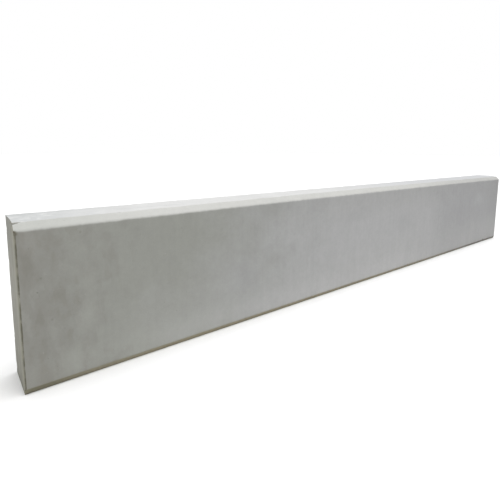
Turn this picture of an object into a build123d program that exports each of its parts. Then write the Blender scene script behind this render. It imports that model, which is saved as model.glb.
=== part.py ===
from build123d import *
import os

os.makedirs("parts", exist_ok=True)

# Upright precast concrete barrier unit with plain vertical faces, millimetres.
# Frame: origin at the middle of the underside, +X along the length,
# the moulded show face looks along -Y, +Z up.

# ---- concrete unit ----
LENGTH = 6000.0
HEIGHT = 900.0
THICK = 280.0
TOP_CHAMFER = 40.0  # splay along the top of the show face
TOP_ROUND = 30.0  # the splay's lower edge is softened to this radius
BEVEL_DEPTH = 12.0  # steep drip bevel along the foot of the show face
BEVEL_HEIGHT = 30.0
END_CHAMFER = 8.0  # upright arrises at the two ends of the show face

# ---- reinforcement ----
COVER = 40.0  # concrete outside the links
LINK_D = 8.0
LINK_BEND = 20.0  # centreline radius of a link's corner
LINK_PITCH = 200.0
LINK_COUNT = 30
CORNER_D = 16.0
CORNER_FROM_FACE = 59.0  # centre of a corner bar from both faces
FACE_D = 10.0
FACE_Z = [150.0, 350.0, 550.0, 750.0]
BAR_END_COVER = 60.0
U_D = 8.0
U_Z = [100.0, 250.0, 450.0, 650.0, 800.0]
U_LEG = 600.0
TIE_D = 6.0
TIE_TAIL = 26.0  # hook's tail past the face bar's centre
LAY_GAP = 0.8  # between bars that cross, tied but not fused
RIB = 0.3  # rib height outside a bar's nominal radius, kept as its seat in the concrete

# ---- lifting and fixing sockets in the back face ----
SOCKET_X = 1800.0
SOCKET_Z = [200.0, 700.0]
SOCKET_OD = 31.0
SOCKET_BORE_R = 10.4  # minor radius of the M24 x 3 thread
SOCKET_LEN = 70.0
PLATE_SIDE = 90.0
PLATE_T = 8.0
CROSS_D = 10.0
CROSS_LEN = 240.0

# ---- cover spacers ----
CHAIR_X = [-2500.0, -1700.0, -900.0, -100.0, 100.0, 900.0, 1700.0, 2500.0]
CHAIR_Z = [120.0, 450.0, 780.0]
CHAIR_FOOT_R = 24.0
CHAIR_NECK_R = 8.0
CHAIR_WEB = 3.0
WHEEL_X = [-2500.0, -1500.0, -500.0, 500.0, 1500.0, 2500.0]
WHEEL_Z = [250.0, 650.0]
WHEEL_T = 12.0
WHEEL_RIM = 4.0
WHEEL_HUB_R = 8.0
SKIN = 1.0  # cement paste between a spacer's tip and the face

# ---- places worked out from the above ----
HALF_L = LENGTH / 2
HALF_T = THICK / 2
LINK_Y = HALF_T - COVER - LINK_D / 2
LINK_Z0 = COVER + LINK_D / 2
LINK_Z1 = HEIGHT - COVER - LINK_D / 2
LINK_X = [(i - (LINK_COUNT - 1) / 2) * LINK_PITCH for i in range(LINK_COUNT)]
CORNER_Y = HALF_T - CORNER_FROM_FACE
FACE_Y = LINK_Y - LINK_D / 2 - LAY_GAP - FACE_D / 2
U_Y = LINK_Y - LINK_D / 2 - LAY_GAP - U_D / 2
U_X = HALF_L - COVER - U_D / 2
BAR_END = HALF_L - BAR_END_COVER
TIE_R = FACE_D / 2 + TIE_D / 2 + 1.0  # hook's centreline radius round a face bar
TIE_Y = FACE_Y + TIE_R
TIE_DX = LINK_D / 2 + TIE_D / 2 + 1.5  # a tie stands just beside its link
TIE_PLACES = [
    (x + TIE_DX, 0, FACE_Z[1 + i % 2]) for i, x in enumerate(LINK_X[1:-1:2])
]
PLATE_Y = HALF_T - SOCKET_LEN  # the plate's outer face, where the tube stands
CROSS_Y1 = PLATE_Y + 0.5 + CROSS_D / 2
CROSS_Y2 = CROSS_Y1 + CROSS_D + LAY_GAP
CROSS_OFF = SOCKET_OD / 2 + 4.5 + CROSS_D / 2
SOCKET_PLACES = [(x, z) for x in (-SOCKET_X, SOCKET_X) for z in SOCKET_Z]
WHEEL_R = COVER + LINK_D / 2 - SKIN


# Bars are drawn by functions because each one is made twice: at its nominal
# diameter as the piece, and a rib height larger as its seat in the concrete.
def straight_bars(d, places, half_length, grow=0.0):
    """Round bars along X at the given (y, z)."""
    with BuildPart() as bars:
        with BuildSketch(Plane.YZ.offset(-half_length - grow)):
            with Locations(*places):
                Circle(d / 2 + grow)
        extrude(amount=2 * (half_length + grow))
    return bars.part


def bent_bar(plane, corners, bend, d, closed=False, grow=0.0):
    """One bar bent along straight runs and arcs drawn on the plane."""
    with BuildPart() as bar:
        with BuildLine(plane) as route:
            FilletPolyline(*corners, radius=bend, close=closed)
        with BuildSketch(Plane(origin=route.line @ 0, z_dir=route.line % 0)):
            Circle(d / 2 + grow)
        sweep(path=route.line)
    return bar.part


def repeated(shape, places):
    """Copies of a shape at the given points."""
    with BuildPart() as copies:
        with Locations(*places):
            add(shape)
    return copies.part


def links(grow=0.0):
    ring = bent_bar(
        Plane.YZ,
        [(LINK_Y, LINK_Z0), (LINK_Y, LINK_Z1), (-LINK_Y, LINK_Z1), (-LINK_Y, LINK_Z0)],
        LINK_BEND,
        LINK_D,
        closed=True,
        grow=grow,
    )
    return repeated(ring, [(x, 0, 0) for x in LINK_X])


def u_bars(side, grow=0.0):
    """Hairpins lying flat round one end of the cage."""
    inner = side * (U_X - U_LEG)
    hairpin = bent_bar(
        Plane.XY,
        [(inner, -U_Y), (side * U_X, -U_Y), (side * U_X, U_Y), (inner, U_Y)],
        LINK_BEND,
        U_D,
        grow=grow,
    )
    return repeated(hairpin, [(0, 0, z) for z in U_Z])


def ties(grow=0.0):
    """Short bars across the thickness, hooked down over both face bars."""
    hook = bent_bar(
        Plane.YZ,
        [(-TIE_Y, -TIE_TAIL), (-TIE_Y, TIE_R), (TIE_Y, TIE_R), (TIE_Y, -TIE_TAIL)],
        TIE_R - 0.001,
        TIE_D,
        grow=grow,
    )
    return repeated(hook, TIE_PLACES)


def cross_bars(grow=0.0):
    """Two upright and two level bars over each socket's foot plate."""
    with BuildPart() as bars:
        for px, pz in SOCKET_PLACES:
            with BuildSketch(Plane.XY.offset(pz - CROSS_LEN / 2)):
                with Locations((px - CROSS_OFF, CROSS_Y1), (px + CROSS_OFF, CROSS_Y1)):
                    Circle(CROSS_D / 2 + grow)
            extrude(amount=CROSS_LEN)
            with BuildSketch(Plane.YZ.offset(px - CROSS_LEN / 2)):
                with Locations((CROSS_Y2, pz - CROSS_OFF), (CROSS_Y2, pz + CROSS_OFF)):
                    Circle(CROSS_D / 2 + grow)
            extrude(amount=CROSS_LEN)
    return bars.part


BOTTOM_BARS = [(-CORNER_Y, CORNER_FROM_FACE), (CORNER_Y, CORNER_FROM_FACE)]
TOP_BARS = [(y, HEIGHT - z) for y, z in BOTTOM_BARS]
FRONT_BARS = [(-FACE_Y, z) for z in FACE_Z]
BACK_BARS = [(FACE_Y, z) for z in FACE_Z]

# ---- the cage ----
with BuildPart() as bottom_corner_bars:
    add(straight_bars(CORNER_D, BOTTOM_BARS, BAR_END))

with BuildPart() as top_corner_bars:
    add(straight_bars(CORNER_D, TOP_BARS, BAR_END))

with BuildPart() as front_face_bars:
    add(straight_bars(FACE_D, FRONT_BARS, BAR_END))

with BuildPart() as back_face_bars:
    add(straight_bars(FACE_D, BACK_BARS, BAR_END))

with BuildPart() as shear_links:
    add(links())

with BuildPart() as left_end_u_bars:
    add(u_bars(-1))

with BuildPart() as right_end_u_bars:
    add(u_bars(1))

with BuildPart() as cross_ties:
    add(ties())

# ---- sockets: threaded tube on a square foot plate, locked in by bars ----
with BuildPart() as socket_tubes:
    with BuildSketch(Plane.XZ.offset(-HALF_T)):
        with Locations(*SOCKET_PLACES):
            Circle(SOCKET_OD / 2)
            Circle(SOCKET_BORE_R, mode=Mode.SUBTRACT)
    extrude(amount=SOCKET_LEN)

with BuildPart() as socket_foot_plates:
    with BuildSketch(Plane.XZ.offset(-PLATE_Y)):
        with Locations(*SOCKET_PLACES):
            RectangleRounded(PLATE_SIDE, PLATE_SIDE, 6)
    extrude(amount=PLATE_T)

with BuildPart() as socket_cross_bars:
    add(cross_bars())

# ---- chairs that hold the links off the show face's mould ----
CHAIR_FLOOR = -HALF_T + SKIN
CHAIR_TOP = -LINK_Y + 2.0
with BuildPart() as one_chair:
    # foot ring on the mould, cone of four webs, saddle round the link's upright leg
    with BuildSketch(Plane.XZ.offset(-CHAIR_FLOOR)):
        Circle(CHAIR_FOOT_R)
        Circle(CHAIR_FOOT_R - 4, mode=Mode.SUBTRACT)
    extrude(amount=-3)
    for turn in (0, 90):
        with BuildSketch(Plane.XY.rotated((0, turn, 0)) if turn else Plane.XY):
            with BuildLine():
                Polyline(
                    (-CHAIR_FOOT_R + 1, CHAIR_FLOOR),
                    (CHAIR_FOOT_R - 1, CHAIR_FLOOR),
                    (CHAIR_NECK_R, CHAIR_TOP),
                    (-CHAIR_NECK_R, CHAIR_TOP),
                    close=True,
                )
            make_face()
        extrude(amount=CHAIR_WEB / 2, both=True)
    with BuildSketch(Plane.XZ.offset(-CHAIR_TOP)):
        Circle(CHAIR_NECK_R)
    extrude(amount=10)
    with BuildSketch(Plane.XY.offset(-60)):
        with Locations((0, -LINK_Y)):
            Circle(LINK_D / 2 + RIB)
    extrude(amount=120, mode=Mode.SUBTRACT)

with BuildPart() as face_chairs:
    with Locations(*[(x, 0, z) for x in CHAIR_X for z in CHAIR_Z]):
        add(one_chair.part)

# ---- wheel spacers clipped on the links and on the end hairpins ----
with BuildPart() as one_wheel:
    with BuildSketch(Plane.XZ):
        Circle(WHEEL_R)
        Circle(WHEEL_R - WHEEL_RIM, mode=Mode.SUBTRACT)
        with PolarLocations((WHEEL_R + WHEEL_HUB_R - 4) / 2, 6):
            Rectangle(WHEEL_R - WHEEL_HUB_R, 3)
        Circle(WHEEL_HUB_R)
        Circle(LINK_D / 2 + RIB, mode=Mode.SUBTRACT)
        # the clip's slot, open through one side of the rim
        with Locations(((WHEEL_R + LINK_D) / 2, 0)):
            Rectangle(WHEEL_R + 2, LINK_D - 2, mode=Mode.SUBTRACT)
    extrude(amount=WHEEL_T / 2, both=True)

with BuildPart() as bottom_wheel_spacers:
    with Locations(*[(x, 0, LINK_Z0) for x in WHEEL_X]):
        add(one_wheel.part)

with BuildPart() as top_wheel_spacers:
    with Locations(*[(x, 0, LINK_Z1) for x in WHEEL_X]):
        add(one_wheel.part)

with BuildPart() as end_wheel_spacers:
    for side in (-1, 1):
        with Locations(*[Location((side * U_X, 0, z)) for z in WHEEL_Z]):
            add(one_wheel.part)

# ---- the concrete, cast round everything above ----
with BuildPart() as concrete_body:
    with BuildSketch(Plane.YZ.offset(-HALF_L)):
        with BuildLine():
            Polyline(
                (-HALF_T + BEVEL_DEPTH, 0),
                (HALF_T, 0),
                (HALF_T, HEIGHT),
                (-HALF_T + TOP_CHAMFER, HEIGHT),
                (-HALF_T, HEIGHT - TOP_CHAMFER),
                (-HALF_T, BEVEL_HEIGHT),
                close=True,
            )
        make_face()
    extrude(amount=LENGTH)
    show_face = concrete_body.faces().filter_by(Axis.Y).sort_by(Axis.Y)[0]
    chamfer(show_face.edges().filter_by(Axis.Z), END_CHAMFER)
    splay_foot = (
        concrete_body.edges()
        .filter_by(Axis.X)
        .filter_by(lambda e: abs(e.center().Z - (HEIGHT - TOP_CHAMFER)) < 0.01)
    )
    fillet(splay_foot, TOP_ROUND)
    # seats of the sockets
    with BuildSketch(Plane.XZ.offset(-HALF_T)):
        with Locations(*SOCKET_PLACES):
            Circle(SOCKET_OD / 2)
    extrude(amount=SOCKET_LEN, mode=Mode.SUBTRACT)
    # seats of everything sealed inside
    seats = [
        straight_bars(CORNER_D, BOTTOM_BARS + TOP_BARS, BAR_END, RIB),
        straight_bars(FACE_D, FRONT_BARS + BACK_BARS, BAR_END, RIB),
        links(RIB),
        u_bars(-1, RIB),
        u_bars(1, RIB),
        ties(RIB),
        cross_bars(RIB),
        socket_foot_plates.part,
        face_chairs.part,
        bottom_wheel_spacers.part,
        top_wheel_spacers.part,
        end_wheel_spacers.part,
    ]
    add([solid for seat in seats for solid in seat.solids()], mode=Mode.SUBTRACT)

pieces = {
    "concrete_body": concrete_body,
    "bottom_corner_bars": bottom_corner_bars,
    "top_corner_bars": top_corner_bars,
    "front_face_bars": front_face_bars,
    "back_face_bars": back_face_bars,
    "shear_links": shear_links,
    "left_end_u_bars": left_end_u_bars,
    "right_end_u_bars": right_end_u_bars,
    "cross_ties": cross_ties,
    "socket_tubes": socket_tubes,
    "socket_foot_plates": socket_foot_plates,
    "socket_cross_bars": socket_cross_bars,
    "face_chairs": face_chairs,
    "bottom_wheel_spacers": bottom_wheel_spacers,
    "top_wheel_spacers": top_wheel_spacers,
    "end_wheel_spacers": end_wheel_spacers,
}
for label, piece in pieces.items():
    piece.part.label = label
    export_step(piece.part, f"parts/{label}.step")
    print(label, "solids", len(piece.part.solids()), "volume_mm3", round(piece.part.volume))
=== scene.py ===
import math

import bpy
import numpy as np
from mathutils import Matrix, Vector


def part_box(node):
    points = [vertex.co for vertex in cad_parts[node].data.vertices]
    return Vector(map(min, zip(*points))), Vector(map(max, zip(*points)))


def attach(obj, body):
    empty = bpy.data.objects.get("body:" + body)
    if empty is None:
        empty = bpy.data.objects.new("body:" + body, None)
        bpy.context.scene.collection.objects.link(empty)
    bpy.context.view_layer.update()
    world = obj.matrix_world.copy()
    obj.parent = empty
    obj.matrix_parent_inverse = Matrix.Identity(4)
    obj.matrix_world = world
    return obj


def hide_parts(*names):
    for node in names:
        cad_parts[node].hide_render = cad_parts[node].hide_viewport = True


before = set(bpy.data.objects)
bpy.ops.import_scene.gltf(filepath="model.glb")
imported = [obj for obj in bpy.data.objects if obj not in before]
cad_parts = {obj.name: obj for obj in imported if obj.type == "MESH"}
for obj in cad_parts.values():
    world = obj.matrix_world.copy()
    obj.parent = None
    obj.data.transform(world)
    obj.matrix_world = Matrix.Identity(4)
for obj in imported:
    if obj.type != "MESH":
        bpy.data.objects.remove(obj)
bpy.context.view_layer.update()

LO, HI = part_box("concrete_body")
X0, X1 = float(LO[0]), float(HI[0])
Y0, Y1 = float(LO[1]), float(HI[1])
ZT = float(HI[2])
MM = 0.001
rng = np.random.default_rng(7)


# ---------------------------------------------------------------- noise on arrays
def _hash(ix, iy, iz, seed):
    h = (
        ix.astype(np.int64) * 374761393
        + iy.astype(np.int64) * 668265263
        + iz.astype(np.int64) * 2147483647
        + seed * 1274126177
    ) & 0xFFFFFFFF
    h = ((h ^ (h >> 13)) * 1274126177) & 0xFFFFFFFF
    h = ((h ^ (h >> 16)) * 2246822519) & 0xFFFFFFFF
    return ((h ^ (h >> 15)) & 0xFFFFFF) / float(0xFFFFFF)


def vnoise(p, scale, seed=0):
    """Smooth value noise, 0 to 1, at points p (n, 3) in metres; scale in cells per metre, one number or three."""
    q = p * np.asarray(scale, float)
    i = np.floor(q)
    f = q - i
    f = f * f * f * (f * (f * 6 - 15) + 10)
    i = i.astype(np.int64)
    out = 0.0
    for dx in (0, 1):
        for dy in (0, 1):
            for dz in (0, 1):
                w = (
                    (f[:, 0] if dx else 1 - f[:, 0])
                    * (f[:, 1] if dy else 1 - f[:, 1])
                    * (f[:, 2] if dz else 1 - f[:, 2])
                )
                out = out + w * _hash(i[:, 0] + dx, i[:, 1] + dy, i[:, 2] + dz, seed)
    return out


def fbm(p, scale, octaves=4, seed=0, gain=0.5):
    total, norm, amp = 0.0, 0.0, 1.0
    s = np.asarray(scale, float)
    for k in range(octaves):
        total = total + amp * vnoise(p, s * 2**k, seed + 31 * k)
        norm += amp
        amp *= gain
    return total / norm


# ---------------------------------------------------------------- the unit's section
def graded(length, near, step, extra=()):
    """Distances along a straight run of that length: fine near both ends, then no more than step apart."""
    pts = {0.0, length}
    for a in near:
        if a < length / 2:
            pts.update((a, length - a))
    for a in extra:
        if 0 < a < length:
            pts.add(a)
    pts = sorted(pts)
    out = [pts[0]]
    for b in pts[1:]:
        a = out[-1]
        k = max(1, math.ceil((b - a) / step - 1e-6))
        out += [a + (b - a) * (j + 1) / k for j in range(k)]
    return out


def rounded(points, radii, arcs, runs):
    """Samples (y, z, ny, nz) of a polyline with rounded corners. The outward normal is on the left of the direction of travel."""
    P = [np.array(p, float) for p in points]
    n = len(P)
    starts, ends, arc_pts = {}, {}, {}
    for i in range(1, n - 1):
        a = (P[i - 1] - P[i]) / np.linalg.norm(P[i - 1] - P[i])
        b = (P[i + 1] - P[i]) / np.linalg.norm(P[i + 1] - P[i])
        ang = math.acos(np.clip(a @ b, -1, 1))
        t = radii[i - 1] / math.tan(ang / 2)
        pa, pb = P[i] + a * t, P[i] + b * t
        c = P[i] + (a + b) / np.linalg.norm(a + b) * radii[i - 1] / math.sin(ang / 2)
        va, vb = pa - c, pb - c
        k = arcs[i - 1]
        total = math.pi - ang
        cr = np.sign(va[0] * vb[1] - va[1] * vb[0])
        pts = []
        for j in range(k + 1):
            th = cr * total * j / k
            v = np.array(
                [
                    va[0] * math.cos(th) - va[1] * math.sin(th),
                    va[0] * math.sin(th) + va[1] * math.cos(th),
                ]
            )
            pts.append((c + v, v / np.linalg.norm(v)))
        starts[i], ends[i], arc_pts[i] = pa, pb, pts
    out = []
    for i in range(n - 1):
        a = P[0] if i == 0 else ends[i]
        b = P[n - 1] if i == n - 2 else starts[i + 1]
        d = b - a
        length = np.linalg.norm(d)
        d = d / length
        nrm = np.array([-d[1], d[0]])
        ds = runs[i](length)
        lo = 0 if i == 0 else 1
        hi = len(ds) if i == n - 2 else len(ds) - 1
        for s in ds[lo:hi]:
            out.append((a + d * s, nrm))
        if i + 1 in arc_pts:
            out += arc_pts[i + 1]
    return np.array([[p[0], p[1], m[0], m[1]] for p, m in out])


NEAR = (2, 4.5, 7.5, 11.5, 17, 24, 34, 48, 68)
SOCKET_X, SOCKET_Z, SOCKET_R = 1.8, (0.2, 0.7), 15.5
h_t, w_f = ZT / MM, Y0 / MM
THICK_MM = (Y1 - Y0) / MM

front = rounded(
    [(w_f + 24, 0), (w_f + 12, 0), (w_f, 30), (w_f, h_t - 40), (w_f + 40, h_t), (w_f + 54, h_t)],
    [1.5, 3.0, 30.0, 6.0],
    [2, 2, 7, 3],
    [
        lambda L: graded(L, (4,), 20),
        lambda L: graded(L, (3,), 9),
        lambda L: graded(L, NEAR, 30),
        lambda L: graded(L, (3,), 11),
        lambda L: graded(L, (3,), 20),
    ],
)
zs = [z / MM + d for z in SOCKET_Z for d in (-40, -28, -18, -9, 0, 9, 18, 28, 40)]
back = rounded(
    [(Y1 / MM - 12, 0), (Y1 / MM, 0), (Y1 / MM, h_t), (Y1 / MM - 12, h_t)][::-1],
    [2.0, 1.5],
    [2, 2],
    [
        lambda L: graded(L, (4,), 20),
        lambda L: graded(L, NEAR, 42, [h_t - 2.0 - z for z in zs]),
        lambda L: graded(L, (4,), 20),
    ],
)

# front and back need the same number of samples, so the ends close with an even grid
def widen(side, target, a, b):
    """Splits the widest gaps between samples a and b until the side has target samples."""
    side = [list(r) for r in side]
    while len(side) < target:
        gaps = [
            (math.hypot(side[i + 1][0] - side[i][0], side[i + 1][1] - side[i][1]), i)
            for i in range(len(side) - 1)
            if a <= side[i][1] <= b and a <= side[i + 1][1] <= b
        ]
        i = max(gaps)[1]
        side.insert(i + 1, [(side[i][k] + side[i + 1][k]) / 2 for k in range(4)])
    return np.array(side)


n_side = max(len(front), len(back))
front = widen(front, n_side, 34, h_t - 60)
back = widen(back, n_side, 30, h_t - 30)
n_flat = 20
t = np.linspace(0, 1, n_flat)
top_y = front[-1, 0] + (back[0, 0] - front[-1, 0]) * t
base_y = back[-1, 0] + (front[0, 0] - back[-1, 0]) * t
top = np.c_[top_y, np.full(n_flat, h_t), np.zeros(n_flat), np.ones(n_flat)]
base = np.c_[base_y, np.zeros(n_flat), np.zeros(n_flat), -np.ones(n_flat)]
ring = np.concatenate([front, top[1:-1], back, base[1:-1]])
i_front, i_top = 0, n_side - 1
i_back, i_base = n_side + n_flat - 2, 2 * n_side + n_flat - 3
n_ring = len(ring)
ring_n = ring[:, 2:] / np.linalg.norm(ring[:, 2:], axis=1)[:, None]

# ---------------------------------------------------------------- columns along the length
CHIPS = [
    # x, edge, half length, depth, all in mm from the unit's middle; edge names below
    (-2821, "back_top", 16, 5.0),
    (-2628, "back_top", 21, 6.0),
    (-1552, "back_top", 12, 3.5),
    (-308, "back_top", 18, 5.0),
    (2417, "back_top", 14, 4.0),
    (-2628, "top_front", 9, 2.2),
    (-1715, "top_front", 10, 2.2),
    (1180, "top_front", 8, 2.0),
    (640, "foot", 11, 2.5),
    (2590, "foot", 20, 3.5),
    (-1330, "back_base", 22, 6.0),
    (905, "back_base", 15, 4.0),
    (2760, "back_base", 26, 6.5),
    (1735, "back_top", 9, 3.0),
    (-960, "back_top", 8, 2.6),
]


def spacing(x):
    """Wanted distance between columns at x, in mm."""
    s = 22.5
    e = min(x + 3000, 3000 - x)
    s = min(s, 1.2 + e * 0.09)
    for cx in (-1800, 1800):
        s = min(s, max(6.0, 6.0 + (abs(x - cx) - 42) * 0.2))
    for cx, _, half, _ in CHIPS:
        s = min(s, max(5.5, 5.5 + (abs(x - cx) - half) * 0.42))
    return s


xs, x = [], -3000.0
dens = np.arange(-3000, 3000.01, 0.5)
cum = np.concatenate([[0], np.cumsum([0.5 / spacing(v) for v in dens[:-1]])])
n_col = int(round(cum[-1])) + 1
xs = np.interp(np.linspace(0, cum[-1], n_col), cum, dens)
print("section samples", n_ring, "columns", n_col, "quads", n_ring * n_col)


# ---------------------------------------------------------------- the skin, ring by ring
ARRIS, SOFT = 8.0, 2.2  # upright arrises of the show face; every other end edge
on_face = (
    (ring[:, 0] < w_f + 0.5) & (ring[:, 1] > 31) & (ring[:, 1] < h_t - 54)
).astype(float)
for _ in range(3):
    on_face = (np.roll(on_face, 1) + 2 * on_face + np.roll(on_face, -1)) / 4
end_e = SOFT + (ARRIS - SOFT) * on_face
theta = np.radians([18, 36, 54, 72, 90])


def end_ring(sign, th):
    """One ring of the rounded or bevelled edge round an end."""
    u = th / (math.pi / 2)
    inset = end_e * (on_face * u + (1 - on_face) * (1 - math.cos(th)))
    back_off = end_e * (on_face * (1 - u) + (1 - on_face) * (1 - math.sin(th)))
    yz = ring[:, :2] - ring_n * inset[:, None]
    nx = sign * (on_face * 0.7071 + (1 - on_face) * math.sin(th))
    nn = np.c_[nx, ring_n * np.sqrt(1 - nx**2)[:, None]]
    return np.c_[sign * (3000 - back_off), yz], nn


cols_p, cols_n = [], []
for th in theta[::-1]:
    p, nn = end_ring(-1, th)
    cols_p.append(p)
    cols_n.append(nn)
for x in xs:
    e = np.minimum(x + 3000, 3000 - x)
    sign = -1 if x < 0 else 1
    xx = np.full(n_ring, x)
    if e < 36:
        xx = sign * (3000 - (end_e + e * (36 - end_e) / 36))
    cols_p.append(np.c_[xx, ring[:, :2]])
    cols_n.append(np.c_[np.zeros(n_ring), ring_n])
for th in theta:
    p, nn = end_ring(1, th)
    cols_p.append(p)
    cols_n.append(nn)
n_all = len(cols_p)
P = np.concatenate(cols_p)
NV = np.concatenate(cols_n)
col_x = np.array([c[:, 0].mean() for c in cols_p])

j, i = np.meshgrid(np.arange(n_all - 1), np.arange(n_ring), indexing="ij")
i2 = (i + 1) % n_ring
quads = np.stack(
    [j * n_ring + i, (j + 1) * n_ring + i, (j + 1) * n_ring + i2, j * n_ring + i2], -1
).reshape(-1, 4)


def cap(first, sign):
    """The flat end, an even grid spanned between the four sides of its ring."""
    global P, NV
    g = np.zeros((n_side, n_flat), int) - 1
    a = np.arange(n_side)
    b = np.arange(1, n_flat - 1)
    g[:, 0] = first + a
    g[:, -1] = first + i_back + (n_side - 1 - a)
    g[-1, 1:-1] = first + i_top + b
    g[0, 1:-1] = first + i_base + (n_flat - 1 - b)
    u = np.linspace(0, 1, n_flat)[None, :, None]
    v = ((P[g[:, 0], 2] + P[g[:, -1], 2]) / 2)[:, None, None]
    v = (v - v[0]) / (v[-1] - v[0])
    left, right = P[g[:, 0]][:, None], P[g[:, -1]][:, None]
    low, high = P[g[0, :].clip(0)][None], P[g[-1, :].clip(0)][None]
    grid = (
        (1 - u) * left
        + u * right
        + (1 - v) * low
        + v * high
        - (1 - u) * (1 - v) * left[0]
        - u * (1 - v) * right[0]
        - (1 - u) * v * left[-1]
        - u * v * right[-1]
    )
    inner = grid[1:-1, 1:-1].reshape(-1, 3)
    g[1:-1, 1:-1] = len(P) + np.arange(len(inner)).reshape(n_side - 2, n_flat - 2)
    P = np.concatenate([P, inner])
    NV = np.concatenate([NV, np.tile([sign, 0.0, 0.0], (len(inner), 1))])
    q = np.stack([g[:-1, :-1], g[:-1, 1:], g[1:, 1:], g[1:, :-1]], -1).reshape(-1, 4)
    return q if sign > 0 else q[:, ::-1]


caps = [cap(0, -1), cap((n_all - 1) * n_ring, 1)]
n_skin = n_all * n_ring

# ---------------------------------------------------------------- what time and handling did to it
SECTION_EDGES = {
    # corner (y, z), outward bisector, everyday wear in mm
    "bevel_low": ((w_f + 12, 0), (-0.560, -0.828), 0.5),
    "foot": ((w_f, 30), (-0.982, -0.189), 0.5),
    "top_front": ((w_f + 40, h_t), (-0.383, 0.924), 1.2),
    "back_top": ((Y1 / MM, h_t), (0.707, 0.707), 1.7),
    "back_base": ((Y1 / MM, 0), (0.707, -0.707), 1.5),
}
M = P * MM
broken = np.zeros(len(P))
# slow waves of the mould and the float, always inwards
flat_top = NV[:, 2] > 0.9
flat_back = NV[:, 1] > 0.9
wave = 0.7 * fbm(M, (0.9, 2.0, 2.2), 3, 3)
wave = wave + np.where(flat_top, 1.6 * fbm(M, (9, 14, 9), 3, 11), 0)
wave = wave + np.where(flat_back, 1.3 * fbm(M, (7, 7, 12), 3, 17), 0)
# the top stays full over the spacers that lie a millimetre under it
over_spacer = np.min([np.hypot(P[:, 0] - x, 0.6 * P[:, 1]) for x in (-2500, -1500, -500, 500, 1500, 2500)], 0)
wave = wave * np.where(flat_top, np.clip((over_spacer - 24) / 60, 0.05, 1), 1)
P = P - NV * wave[:, None]
grain = fbm(M, 140, 2, 23)
for k, (name, ((cy, cz), (by, bz), worn)) in enumerate(SECTION_EDGES.items()):
    line = np.c_[M[:, 0], np.full(len(M), k * 3.7), np.zeros(len(M))]
    soft = np.clip(fbm(line, 7, 3, 41 + k) - 0.38, 0, 1) * 3.2
    nick = np.clip(fbm(line, 34, 2, 57 + k) - 0.66, 0, 1) * 9
    depth = worn * (0.35 + soft + nick) * (0.7 + 0.6 * grain)
    chip = np.zeros(len(P))
    for cx, where, half, d in CHIPS:
        if where == name:
            u = (P[:, 0] - cx) / half
            u = u + 0.5 * (fbm(line, 60, 2, 71) - 0.5)
            chip = np.maximum(chip, d * np.clip(1 - u * u, 0, 1) ** 0.6 * (0.75 + 0.5 * grain))
    depth = np.maximum(depth, chip)
    s = (P[:, 1] - cy) * by + (P[:, 2] - cz) * bz
    near = np.hypot(P[:, 1] - cy, P[:, 2] - cz) < 40
    push = np.where(near, np.clip(s + depth, 0, None), 0)
    P[:, 1] -= push * by
    P[:, 2] -= push * bz
    broken = np.maximum(broken, np.clip(push / 2.2, 0, 1) * (chip > 0.6 * depth))
    broken = np.maximum(broken, np.clip((push - 0.8) / 2.5, 0, 0.5))
# upright edges at the two ends
for sign in (-1, 1):
    for side_y, base_depth, worn in ((w_f, ARRIS * 0.7071 + 0.1, 0.5), (Y1 / MM, 0.9, 1.4)):
        line = np.c_[M[:, 2], np.full(len(M), sign * 2.3 + side_y), np.zeros(len(M))]
        soft = np.clip(fbm(line, 8, 3, 83) - 0.4, 0, 1) * 3
        nick = np.clip(fbm(line, 30, 2, 89) - 0.66, 0, 1) * 10
        depth = base_depth + worn * (soft + nick) * (0.7 + 0.6 * grain)
        sy = -1 if side_y < 0 else 1
        s = ((sign * P[:, 0] - 3000) + sy * (P[:, 1] - side_y)) * 0.7071
        near = (sign * P[:, 0] > 2965) & (np.abs(P[:, 1] - side_y) < 30)
        if side_y < 0:
            near &= (P[:, 2] > 32) & (P[:, 2] < h_t - 46)
        push = np.where(near, np.clip(s + depth, 0, None), 0)
        P[:, 0] -= push * 0.7071 * sign
        P[:, 1] -= push * 0.7071 * sy
        broken = np.maximum(broken, np.clip((push - 0.9) / 2.5, 0, 0.6))
    # the level edges across the top and the foot of each end
    for side_z in (0, h_t):
        line = np.c_[M[:, 1], np.full(len(M), sign * 1.1 + side_z), np.zeros(len(M))]
        depth = 0.8 + 2.2 * np.clip(fbm(line, 16, 3, 97) - 0.45, 0, 1) * (0.7 + 0.6 * grain)
        sz = -1 if side_z == 0 else 1
        s = ((sign * P[:, 0] - 3000) + sz * (P[:, 2] - side_z)) * 0.7071
        push = np.where((sign * P[:, 0] > 2965) & (np.abs(P[:, 2] - side_z) < 30), np.clip(s + depth, 0, None), 0)
        P[:, 0] -= push * 0.7071 * sign
        P[:, 2] -= push * 0.7071 * sz
# a short crack runs in from the near end along the top of the splay
crack_u = (P[:, 0] + 3000.0) / 70.0
crack_y = w_f + 40 - 1.5 + 9.0 * crack_u + 2.5 * (fbm(np.c_[M[:, 0], M[:, 0] * 0, M[:, 0] * 0], 60, 2, 131) - 0.5)
crack_w = 5.0 * np.clip(1 - crack_u, 0, 1) + 1.7
crack = np.exp(-(((P[:, 1] - crack_y) / crack_w) ** 2)) * np.clip(1.15 - crack_u, 0, 1) ** 0.8
crack = np.where((P[:, 2] > h_t - 24) & (P[:, 0] < -2926), crack, 0)
P[:, 2] -= 9.0 * crack * (0.7 + 0.6 * grain)
broken = np.maximum(broken, np.clip(1.6 * crack, 0, 1))
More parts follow.
